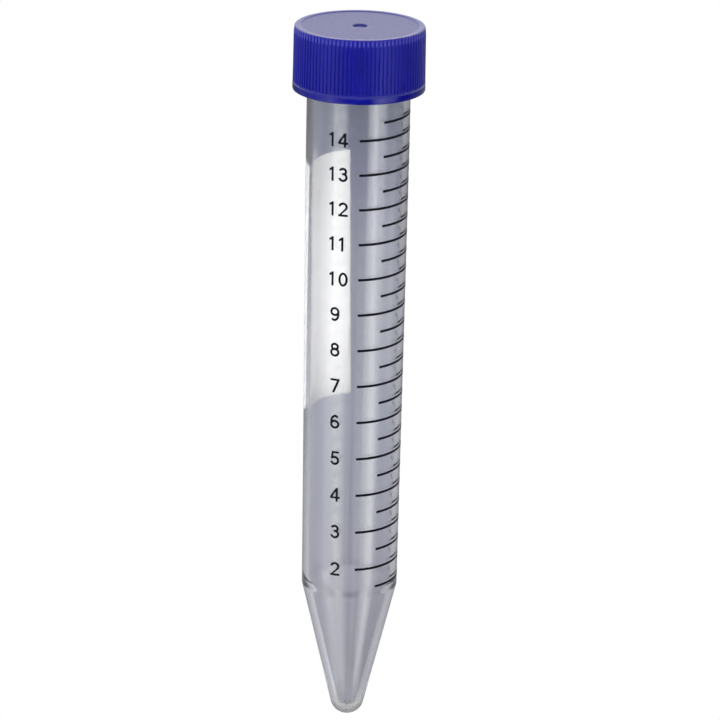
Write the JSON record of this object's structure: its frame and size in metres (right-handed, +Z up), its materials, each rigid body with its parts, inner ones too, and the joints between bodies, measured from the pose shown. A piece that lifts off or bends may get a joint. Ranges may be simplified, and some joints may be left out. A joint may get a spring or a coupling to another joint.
{
  "type": "conical screw-cap test tube",
  "caption": "Conical clear plastic test tube with a printed volume scale, a white writing patch and a ribbed blue screw cap that unscrews.",
  "frame": {"origin": "centre of the tip of the cone, the lowest point of the tube", "axes": "+Z up along the tube's axis towards the cap; -Y is the front, which shows the numerals; +X is to the viewer's right"},
  "size_m": [0.0216, 0.0216, 0.12],
  "materials": {
    "clear_plastic": "clear moulded plastic with a faint grey-lavender haze",
    "blue_plastic": "satin, saturated blue",
    "liner_foam": "soft white closed-cell foam",
    "black_ink": "printed black ink",
    "white_ink": "printed matte white ink that takes a pen"
  },
  "bodies": {
    "tube": {"tube_body": "clear_plastic", "full_ml_lines": "black_ink", "half_ml_lines": "black_ink", "scale_numerals": "black_ink", "writing_patch": "white_ink"},
    "liner": {"cap_liner": "liner_foam"},
    "cap": {"screw_cap": "blue_plastic"}
  },
  "joints": [
    {"name": "cap_lift", "type": "slide", "parent": "tube", "child": "liner", "axis": [0, 0, 1], "range_m": [0, 0.012]},
    {"name": "cap_turn", "type": "hinge", "parent": "liner", "child": "cap", "pos_m": [0, 0, 0.1094], "axis": [0, 0, 1], "range_deg": [0, 1441]}
  ],
  "couplings": [
    {"joint": "cap_turn", "follows": "cap_lift", "rad_per_m": 2094.4}
  ]
}
